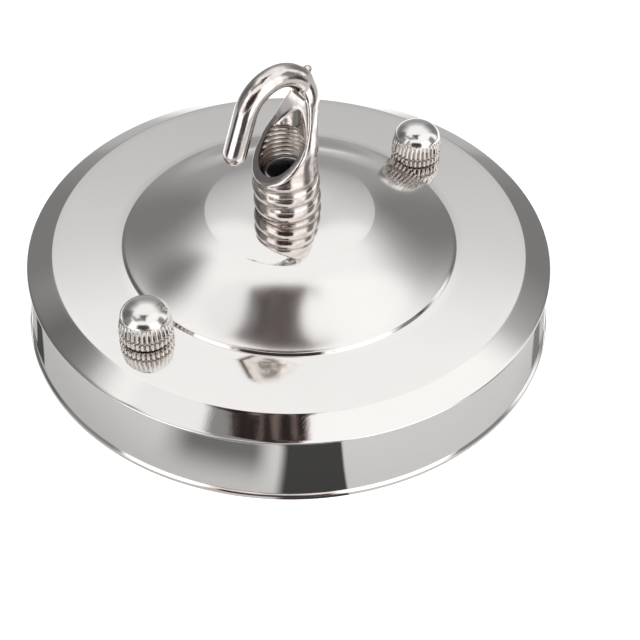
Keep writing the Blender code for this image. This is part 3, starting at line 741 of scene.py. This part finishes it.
class HOOKPLATE_OT_hook(bpy.types.Operator):
    """Build the cast hook with its tapped socket"""
    bl_idname = "hook_plate.hook"
    bl_label = "Hook"

    def casting(self, bar, nub_place):
        """Ringed barrel, spine, bight and arm, with the nub that the casting's gate leaves."""
        bulge = [GROOVE + RING_BULGE * sin(pi * i / 20) ** 0.7 for i in range(21)]
        profile = [(GROOVE, BARREL)]
        profile += [(bulge[i], RING_PITCH * (ring + 1 - i / 20)) for ring in (1, 0) for i in range(1, 21)]
        profile += [(bulge[i], -RING_PITCH * i / 20) for i in range(1, 7)]
        hook = solid("cast_hook", turned_rows(profile, 128))
        stations = rounded_end(smooth_stations(horn_stations(bar)), bar)
        boolean(hook, solid("horn", swept_rows(stations), smooth=False), 'UNION')
        nub = new_object("nub", bmesh_form("nub", bmesh.ops.create_uvsphere, u_segments=24, v_segments=16,
                                           radius=NUB_RADIUS), smooth=False)
        nub.location = nub_place
        bpy.context.view_layer.update()
        boolean(hook, nub, 'UNION')
        return hook

    def open_window(self, hook, bar):
        """Cut the slanted window and the hollow behind it, and add the casting seam down the spine."""
        boolean(hook, prism("window_face", face_points(bar), HORN * 1.5))
        tip_x, tip_z = BIGHT_REACH - (BACK - bar) + SCOOP, BIGHT_HEIGHT - SCOOP * 0.42
        hollow = [(SCOOP * 1.1, SOCKET_DEPTH - 0.6 * MM, SCOOP), (SCOOP * 0.06, SOCKET_DEPTH + SCOOP * 0.4, SCOOP)]
        hollow += [(tip_x, tip_z + SCOOP * 0.9 * sin(a), SCOOP * 0.96 * cos(a))
                   for a in [radians(12 * i) for i in range(8)]]
        scoop = solid("scoop", swept_rows(hollow, 64), smooth=False)
        scoop.location.y = SCOOP_ASIDE
        bpy.context.view_layer.update()
        boolean(hook, scoop)
        seam = [(x - radius * 0.98, z, SEAM) for x, z, radius in horn_stations(bar)[4:14]]
        boolean(hook, solid("flash", swept_rows(smooth_stations(seam), 16), smooth=False), 'UNION')

    def soften(self, hook, voxel, nub_place):
        """Blend the pieces into one casting; the barrel's rings and the nub keep most of their form."""
        add_modifier(hook, "blend", 'REMESH', mode='VOXEL', voxel_size=voxel)
        apply_modifiers(hook)
        upper = hook.vertex_groups.new(name="upper")
        for vertex in hook.data.vertices:
            x, _, z = vertex.co
            rim = (z - LIP + x * 0.9) / (1.5 * MM) + 1.0
            near_nub = (vertex.co - nub_place).length < 1.6 * MM
            upper.add([vertex.index], 0.04 if near_nub else clamp(rim, 0.06), 'REPLACE')
        add_modifier(hook, "soften", 'SMOOTH', factor=0.5, iterations=48, vertex_group="upper")
        apply_modifiers(hook)

    def tap(self, hook, pitch, bar):
        """Cut the socket's thread, run out into a countersink under the slanted rim."""
        rows = int(SOCKET_DEPTH / pitch * 9)
        top, bottom = SOCKET_DEPTH, -1.6 * MM
        core = [(3.0 * MM, top + 0.9 * MM)]
        core += [(4.83 * MM, top - (top - bottom) * i / rows) for i in range(rows + 1)]
        cut = thread_radius(TAP_CREST, TAP_ROOT, pitch, top - 0.9 * MM, top)
        rim = face_points(bar)[20::-1]

        def thread(radius, height, angle):
            out = radius * cos(angle)
            low, high = next(((a, b) for a, b in zip(rim, rim[1:]) if a[0] <= out <= b[0]), (rim[-2], rim[-1]))
            edge = low[1] + (high[1] - low[1]) * (out - low[0]) / (high[0] - low[0])
            fade = clamp((height - edge + 1.3 * MM) / (0.7 * MM))
            level = cut(radius, height, angle)
            return level + (max(level, TAP_ROOT) - level) * fade if radius > 4.0 * MM else level
        boolean(hook, solid("tap", turned_rows(core, 96, thread), smooth=False))

    def execute(self, context):
        settings = context.scene.hook_plate_hook
        bar = settings.bar_radius
        nub_place = Vector((BIGHT_REACH + (BACK + bar) * cos(NUB_ANGLE), 0,
                            BIGHT_HEIGHT + (BIGHT + bar) * sin(NUB_ANGLE)))
        hook = self.casting(bar, nub_place)
        self.open_window(hook, bar)
        self.soften(hook, settings.voxel, nub_place)
        self.tap(hook, settings.thread_pitch, bar)
        place = hook_matrix(settings)
        hook.data.transform(place)
        for vertex in hook.data.vertices:
            vertex.co.z = max(vertex.co.z, COVER_TOP + SEAT_CLEARANCE)
        shade(hook.data, radians(60))
        set_material(hook, bpy.data.materials["hook_casting_plating"])
        into = place.inverted()

        def recess(vertex):
            """1 deep in the socket's thread and between the barrel's rings."""
            local = into @ vertex.co
            radius = hypot(local.x, local.y)
            if radius < TAP_ROOT + 0.1 * MM and local.z < SOCKET_DEPTH:
                return clamp((radius - TAP_CREST) / (0.45 * MM), 0.1)
            if local.z < BARREL + 0.8 * MM:
                return clamp((6.42 * MM - radius) / (0.3 * MM))
            return 0.0
        # the recess mask carries painted brown shade into the casting's colour
        store_mask(hook, "recess", recess)
        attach(hook, "cover")
        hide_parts("hook_casting")
        return {'FINISHED'}


NUT_DOME = 3.1 * MM  # height of the cap nuts' dome
NUT_SHOULDER = 4.75 * MM  # radius at the dome's foot
NUT_GROOVE = 1.7 * MM  # height of the groove in the knurl
NUT_BORE = 1.92 * MM
KNURL_TOP, KNURL_FADE = 5.0 * MM, 1.9 * MM


class HOOKPLATE_OT_cap_nuts(bpy.types.Operator):
    """Build the two knurled cap nuts"""
    bl_idname = "hook_plate.cap_nuts"
    bl_label = "Cap Nuts"

    def execute(self, context):
        settings = context.scene.hook_plate_nuts
        height = NUT_TOP - NUT_FOOT - 0.25 * MM
        radius = (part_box("cap_nut_right")[1][0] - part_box("cap_nut_right")[0][0]) / 2
        skirt = height - NUT_DOME
        groove = NUT_GROOVE
        path = [(0.01 * MM, height)]
        path += [(NUT_SHOULDER * sin(a), skirt + NUT_DOME * cos(a)) for a in quarter(22)]
        path += [(NUT_SHOULDER + (radius - NUT_SHOULDER) * i / 12, skirt - (skirt - groove - 0.4 * MM) * i / 12)
                 for i in range(1, 13)]
        path += [(radius - 0.14 * MM, groove + 0.3 * MM), (radius - 0.5 * MM, groove + 0.2 * MM),
                 (radius - 0.5 * MM, groove - 0.2 * MM), (radius - 0.14 * MM, groove - 0.3 * MM),
                 (radius, groove - 0.4 * MM)]
        path += [(radius, groove - 0.4 * MM - (groove - 0.8 * MM) * i / 6) for i in range(1, 7)]
        path += [(radius - 0.2 * MM, -0.05 * MM), (radius - 0.48 * MM, -0.18 * MM), (NUT_BORE, -0.18 * MM),
                 (NUT_BORE, 5.2 * MM), (0.01 * MM, 6.0 * MM)]

        def knurl(base, z, angle):
            """The skirt's radius between two teeth; the flutes run out towards the dome."""
            if z <= -0.1 * MM or z > KNURL_TOP or base < NUT_SHOULDER * 0.85:
                return base
            wave = 0.5 - 0.5 * cos(settings.teeth * angle)
            wave = min(1.0, wave * 1.25) ** 0.8
            fade = min(1.0, (KNURL_TOP - z) / KNURL_FADE)
            depth = settings.depth * fade * (0.25 if abs(z - groove) < 0.25 * MM else 1.0)
            return base - depth * (1 - wave)

        for name in ("cap_nut_left", "cap_nut_right"):
            rows = turned_rows(path, settings.teeth * settings.steps, knurl)
            nut = solid("knurled_" + name, rows, sharp=radians(55))
            centre = node_centre(name)
            nut.data.transform(Matrix.Translation((centre[0], centre[1], NUT_FOOT)))
            set_material(nut, bpy.data.materials["knurled_nut_plating"])

            def recess(vertex):
                """1 at the bottom of a flute or groove."""
                z = vertex.co.z - NUT_FOOT
                from_axis = hypot(vertex.co.x - centre[0], vertex.co.y - centre[1])
                if z > KNURL_TOP:
                    return 0.0
                full = NUT_SHOULDER + (radius - NUT_SHOULDER) * clamp((skirt - z) / (skirt - groove))
                return clamp((full - from_axis) / settings.depth)
            # the recess mask carries painted shade into the flutes and the groove
            store_mask(nut, "recess", recess)
            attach(nut, name)
            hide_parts(name)
        return {'FINISHED'}


NIPPLE_TOP, NIPPLE_BOTTOM = 8.7 * MM, -7.97 * MM  # in the hook's frame
NIPPLE_BORE = 3.35 * MM
NIPPLE_ROOT, NIPPLE_CREST = 4.24 * MM, 4.72 * MM
SCREW_HEAD, SCREW_NECK = 3.8 * MM, 2.4 * MM  # radius and height of the head
SCREW_ROOT, SCREW_CREST, SCREW_PITCH = 1.40 * MM, 1.62 * MM, 0.7 * MM
SLOT = [(-0.5 * MM, -1.0 * MM), (0.5 * MM, -1.0 * MM), (0.5 * MM, 1.1 * MM), (-0.5 * MM, 1.1 * MM)]


class HOOKPLATE_OT_threads(bpy.types.Operator):
    """Build the threaded nipple in the hook and the two threaded strap screws"""
    bl_idname = "hook_plate.threads"
    bl_label = "Threaded Pieces"

    def finish(self, piece, node):
        set_material(piece, bpy.data.materials["zinc_hardware_plating"])
        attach(piece, "cover")
        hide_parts(node)

    def nipple(self, settings):
        """The hollow nipple, which stands in the hook's frame."""
        pitch, bore = settings.thread_pitch, NIPPLE_BORE
        top, bottom = NIPPLE_TOP, NIPPLE_BOTTOM
        run = int((top - bottom) / pitch * 9)
        path = [(bore, top - 0.25 * MM), (3.5 * MM, top - 0.04 * MM), (3.72 * MM, top),
                (3.98 * MM, top - 0.08 * MM), (4.2 * MM, top - 0.35 * MM)]
        path += [(4.25 * MM, top - 0.5 * MM - (top - bottom - 1.0 * MM) * i / run) for i in range(run + 1)]
        path += [(4.15 * MM, bottom + 0.2 * MM), (3.9 * MM, bottom), (3.6 * MM, bottom), (bore, bottom + 0.2 * MM)]
        path += [(bore, bottom + (top - bottom) * i / 8) for i in range(1, 8)]
        cut = thread_radius(NIPPLE_ROOT, NIPPLE_CREST, pitch)

        def groove(radius, height, angle):
            """The thread, faded out at both ends."""
            if radius < NIPPLE_ROOT:
                return radius
            ends = min(1.0, (top - height) / (1.3 * MM), (height - bottom) / (1.3 * MM))
            return radius + (cut(radius, height, angle) - NIPPLE_ROOT) * ends
        rows = turned_rows(path, 108, groove)
        piece = new_object("threaded_nipple", grid_mesh("threaded_nipple", rows, close_rows=True), sharp=radians(70))
        piece.data.transform(hook_matrix(settings))
        self.finish(piece, "hollow_nipple")

    def screw(self, side):
        """A slotted strap screw, head down."""
        node = "strap_screw_" + side
        low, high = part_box(node)
        centre, length = node_centre(node), high[2] - low[2]
        path = [(0.01 * MM, 0.0), (2.1 * MM, 0.0)]
        path += [(2.1 * MM + 1.7 * MM * sin(a), 1.25 * MM - 1.25 * MM * cos(a)) for a in quarter(8)]
        path += [(SCREW_HEAD, SCREW_NECK - 0.1 * MM), (SCREW_HEAD - 0.1 * MM, SCREW_NECK), (SCREW_CREST, SCREW_NECK)]
        run = int((length - SCREW_NECK) / SCREW_PITCH * 8)
        path += [(SCREW_ROOT, SCREW_NECK + 0.25 * MM + (length - SCREW_NECK - 0.6 * MM) * i / run)
                 for i in range(run + 1)]
        path += [(1.2 * MM, length), (0.01 * MM, length)]
        cut = thread_radius(SCREW_ROOT, SCREW_CREST, SCREW_PITCH)

        def groove(radius, height, angle):
            return cut(radius, height, angle) if abs(radius - SCREW_ROOT) < 0.001 * MM else radius
        piece = solid("threaded_" + node, turned_rows(path, 40, groove))
        boolean(piece, prism("slot", SLOT, 6.0 * MM))
        piece.data.transform(Matrix.Translation((centre[0], centre[1], low[2])))
        shade(piece.data, radians(50))
        self.finish(piece, node)

    def execute(self, context):
        self.nipple(context.scene.hook_plate_hook)
        for side in ("left", "right"):
            self.screw(side)
        return {'FINISHED'}


class HOOKPLATE_OT_hardware(bpy.types.Operator):
    """Give the strap, washer and nuts their eased edges and finish"""
    bl_idname = "hook_plate.hardware"
    bl_label = "Hidden Hardware"

    def execute(self, context):
        zinc = bpy.data.materials["zinc_hardware_plating"]
        for name in ("mounting_strap", "lock_nut_left", "lock_nut_right", "nipple_nut", "toothed_washer"):
            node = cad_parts[name]
            for place in node.material_slots:
                place.material = zinc
            add_modifier(node, "eased_edges", 'BEVEL', width=0.08 * MM, segments=2, limit_method='ANGLE',
                         angle_limit=radians(40), harden_normals=False)
        return {'FINISHED'}


# Studio

# Levels of the mirrored room by height in degrees: straight behind the object, beside that, and on the left card
BEHIND = ((-10, 0.36), (22, 0.36), (30, 0.50), (36, 0.62), (41, 0.76), (46, 1.02), (60, 1.05))
BESIDE = ((-10, 0.24), (22, 0.22), (30, 0.30), (36, 0.42), (45, 0.74), (54, 1.02), (60, 1.05))
LEFT_CARD = ((-10, 0.18), (20, 0.14), (38, 0.16), (46, 0.26), (52, 0.72), (57, 1.05), (60, 1.08))
FAR_SIDES = 1.12
AMBIENT = 0.8  # what diffuse rays see
BROWN = (1.2, 0.92, 0.86)  # tint of the photographer's dark figure
PAPER, PAPER_GLOW = 0.86, 0.22  # the floor, and what lifts it to white for the camera
# Dark strips painted into the floor's colour, which the wall mirrors: degrees from the front, widths of their soft
# edges, level
PAINTED_FLOOR_STRIPS = ((-0.8, 11.8, 3.0, 0.8, 0.045), (-73.0, -67.0, 2.0, 1.5, 0.07), (67.0, 73.0, 2.0, 2.0, 0.20))
LAMPS = (("key_light", (-0.25, -0.55, 0.8), 0.6, 6.0), ("fill_light", (0.6, -0.1, 0.6), 0.6, 3.0))


def level_curve(value, stops):
    """A smooth curve through (value, level) stops."""
    low, high = stops[0][0], stops[-1][0]
    spread = maths('MULTIPLY_ADD', value, 1 / (high - low), -low / (high - low), limit=True)
    node = new_node(value.tree, 'ShaderNodeFloatCurve', {'Value': spread})
    curve = node.mapping.curves[0]
    while len(curve.points) < len(stops):
        curve.points.new(0.5, 0.5)
    for point, (at, level) in zip(curve.points, stops):
        point.location = ((at - low) / (high - low), level / 2)
        point.handle_type = 'AUTO_CLAMPED'
    node.mapping.update()
    return read(node) * 2.0


def compass(coords, azimuth):
    """Degrees from straight behind and from the front, to the right as the camera sees it, and x, y, z."""
    turn = new_node(coords.tree, 'ShaderNodeVectorRotate', {'Vector': coords, 'Angle': -azimuth},
                    rotation_type='Z_AXIS')
    split = new_node(coords.tree, 'ShaderNodeSeparateXYZ', {'Vector': read(turn)})
    x, y, z = (read(split, axis) for axis in range(3))
    return maths('ARCTAN2', x, y) * (180 / pi), maths('ARCTAN2', x, y * -1.0) * (180 / pi), x, y, z


def mirrored_room(coords, azimuth):
    """Level of the room that the metal mirrors, and a mask of its brown parts."""
    way, front, x, y, z = compass(coords, azimuth)
    height = maths('ARCSINE', z) * (180 / pi)
    tone = blend(level_curve(height, BEHIND), level_curve(height, BESIDE), smooth_step(abs(way), 16.0, 30.0))
    tone = blend(tone, level_curve(height, LEFT_CARD), smooth_step(way, -46.0, -60.0))
    tone = blend(tone, FAR_SIDES, maths('MAXIMUM', smooth_step(way, 58.0, 70.0), smooth_step(way, -86.0, -97.0)))
    ragged = noise(coords, 5.0, 2.0, 0.55) - 0.5
    # grey cards over the object, left and right of the camera, and a pale panel beside the left one
    over = (y, 0.06, 0.0)
    tone = blend(tone, 0.28, window(over, (x, 0.04, -0.06), (height, 44.0, 52.0), (y, -0.50, -0.32)))
    tone = blend(tone, 0.42, window(over, (x, 0.0, 0.08), (x, 0.26, 0.16), (y, -0.06, 0.03)))
    tone = blend(tone, 0.98, window((x, -0.56, -0.47), (x, -0.26, -0.30), (y, 0.14, 0.07), (y, -0.22, -0.13)))
    # dark shapes of the camera straight above, narrower towards the front
    across = (ragged * 0.12 + x) * (maths('MINIMUM', y + 0.06, 0.0) * -8.0 + 1.0)
    patch = window((across, -0.29, -0.25), (across, 0.14, 0.11), (y, 0.05, 0.02), (y, -0.50, -0.40))
    tone = blend(tone, smooth_step(noise(coords, 26.0, 1.0, 0.4, 0.6), 0.50, 0.60, 0.02, 0.16), patch)
    # soft boxes low on both sides of the camera, and the figure between them
    front = ragged * 30.0 + front
    bright_bands = blend(0.26, 1.45, window((abs(front), 5.0, 13.0), (abs(front), 72.0, 60.0)))
    tone = blend(tone, bright_bands, window((height, 46.0, 37.0), (y, 0.20, 0.0)))
    figure = window((front, -38.0, -27.0), (front, 27.0, 18.0), (height, -2.0, 8.0), (height, 45.0, 36.0))
    return blend(tone, 0.04, figure), maths('MAXIMUM', patch, figure)


def world_light(studio):
    """White for the camera, an even light for the object, and the mirrored room for reflections."""
    world = bpy.data.worlds.new("studio_world")
    bpy.context.scene.world = world
    world.use_nodes = True
    tree = world.node_tree
    ray = tree.nodes.new('ShaderNodeLightPath')
    glossy = read(ray, 'Is Glossy Ray')
    tone, brown = mirrored_room(coordinates(tree, 'Generated'), studio.azimuth)
    level = blend(maths('MAXIMUM', read(ray, 'Is Camera Ray'), AMBIENT), tone, glossy)
    tinted = new_node(tree, 'ShaderNodeVectorMath', {}, operation='SCALE')
    put(mix_colour(brown * glossy, (1.0, 1.0, 1.0), BROWN), tinted.inputs[0])
    put(level, tinted.inputs['Scale'])
    put(read(tinted), tree.nodes['Background'].inputs['Color'])
    world.cycles.sampling_method = 'NONE'


def floor_material(studio):
    """Pale paper; what the metal mirrors of it is painted into its colour: dark strips, bright bands as of soft
    boxes, painted shade near the object and the dark room past its edge.
    """
    material, tree, shader = new_material("pale_floor")
    ray = tree.nodes.new('ShaderNodeLightPath')
    way, facing, x, y, _ = compass(coordinates(tree, 'Object'), studio.azimuth)
    far = maths('SQRT', x * x + y * y)
    aside = 180.0 - abs(way)
    # bright bands painted into the floor's colour for mirror rays, brighter than white paper: a painted glow as of
    # soft boxes
    bright_bands = blend(0.05, 1.30, window((aside, 18.0, 28.0), (aside, 70.0, 58.0)))
    # painted shade: darker close in front of the object; behind it bright near and dark far off
    front = blend(0.52, bright_bands, smooth_step(far, 0.12, 0.15))
    back = blend(1.08, 0.42, smooth_step(far, 0.11, 0.17))
    seen = blend(front, back, smooth_step(abs(way), 96.0, 84.0))
    near = (far, 0.085, 0.075)
    outward = 1.0 - maths('DIVIDE', WALL_FOOT[0], far)
    # painted dark strips on the floor, seen in the wall
    for low, high, soft_low, soft_high, dark in PAINTED_FLOOR_STRIPS:
        at_wall = outward * (-180 / pi * tan(radians((low + high) / 2))) + facing
        seen = blend(seen, dark, window((at_wall, low - soft_low, low), (at_wall, high + soft_high, high), near))
    # painted shade on the floor beside the wall's left front, seen in the wall
    seen = blend(seen, 0.13, window((facing, -34.0, -23.0), (facing, -3.0, -9.0), (far, 0.053, 0.065), near)) * 0.92
    for name, value in (('Roughness', 0.9), ('Specular IOR Level', 0.0), ('Emission Color', (1.0, 1.0, 1.0, 1.0)),
                        ('Emission Strength', read(ray, 'Is Camera Ray') * PAPER_GLOW),
                        ('Base Color', blend(PAPER, seen, read(ray, 'Is Glossy Ray')))):
        put(value, shader.inputs[name])
    return material


def aimed(place, target):
    """At the place, facing the target, top upwards."""
    return Matrix.Translation(place) @ (target - place).to_track_quat('-Z', 'Y').to_matrix().to_4x4()


def add_lamps(scene, turn):
    """Large soft lamps that the metal doesn't mirror."""
    for name, place, size, watts in LAMPS:
        data = bpy.data.lights.new(name, 'AREA')
        data.size = size
        data.energy = watts
        lamp = bpy.data.objects.new(name, data)
        scene.collection.objects.link(lamp)
        lamp.matrix_world = aimed(turn @ Vector(place), Vector())
        lamp.visible_glossy = False


def add_camera(scene, studio, turn):
    """The photo's camera."""
    level, aim = cos(studio.elevation), sin(studio.elevation)
    place = Vector((0, -level, aim)) * studio.distance
    target = Vector((studio.aim_right, 0, 0)) + Vector((0, aim, level)) * studio.aim_up
    data = bpy.data.cameras.new("photo_camera")
    data.lens = studio.focal_length
    data.sensor_width = 36.0
    data.clip_start = 0.01
    camera = bpy.data.objects.new("photo_camera", data)
    scene.collection.objects.link(camera)
    camera.matrix_world = turn @ aimed(place, target) @ Matrix.Rotation(studio.roll, 4, 'Z')
    scene.camera = camera


class HOOKPLATE_OT_stage(bpy.types.Operator):
    """Set the floor, the lights, the backdrop and the camera"""
    bl_idname = "hook_plate.stage"
    bl_label = "Stage"

    def execute(self, context):
        studio = context.scene.hook_plate_studio
        scene = context.scene
        world_light(studio)
        mesh = bmesh_form("studio_floor", bmesh.ops.create_grid, x_segments=1, y_segments=1, size=2.0)
        floor = new_object("studio_floor", mesh, smooth=False)
        floor.location.z = CAD_BOX[0][2] - 0.05 * MM
        set_material(floor, floor_material(studio))
        turn = Matrix.Rotation(studio.azimuth, 4, 'Z')
        add_lamps(scene, turn)
        add_camera(scene, studio, turn)
        scene.view_settings.view_transform = 'Standard'
        return {'FINISHED'}


OPERATORS = (HOOKPLATE_OT_finishes, HOOKPLATE_OT_cover, HOOKPLATE_OT_hook, HOOKPLATE_OT_cap_nuts,
             HOOKPLATE_OT_threads, HOOKPLATE_OT_hardware, HOOKPLATE_OT_stage)


class HOOKPLATE_PT_panel(bpy.types.Panel):
    """Pieces and settings of the hook plate"""
    bl_idname = "HOOKPLATE_PT_panel"
    bl_label = "Ceiling Hook Plate"
    bl_space_type = 'VIEW_3D'
    bl_region_type = 'UI'
    bl_category = "Hook Plate"

    def draw(self, context):
        for operator in OPERATORS:
            self.layout.operator(operator.bl_idname)
        for name, group in SETTINGS.items():
            box = self.layout.box()
            box.label(text=group.__doc__.split(":")[0])
            for key in group.__annotations__:
                box.prop(getattr(context.scene, name), key)


CLASSES = tuple(SETTINGS.values()) + OPERATORS + (HOOKPLATE_PT_panel,)


def register():
    for cls in CLASSES:
        bpy.utils.register_class(cls)
    for name, group in SETTINGS.items():
        setattr(bpy.types.Scene, name, PointerProperty(type=group))


def unregister():
    for name in SETTINGS:
        delattr(bpy.types.Scene, name)
    for cls in reversed(CLASSES):
        bpy.utils.unregister_class(cls)


def main():
    register()
    bpy.ops.hook_plate.finishes()
    bpy.ops.hook_plate.cover()
    bpy.ops.hook_plate.hook()
    bpy.ops.hook_plate.cap_nuts()
    bpy.ops.hook_plate.threads()
    bpy.ops.hook_plate.hardware()
    bpy.ops.hook_plate.stage()


if __name__ == "__main__":
    main()
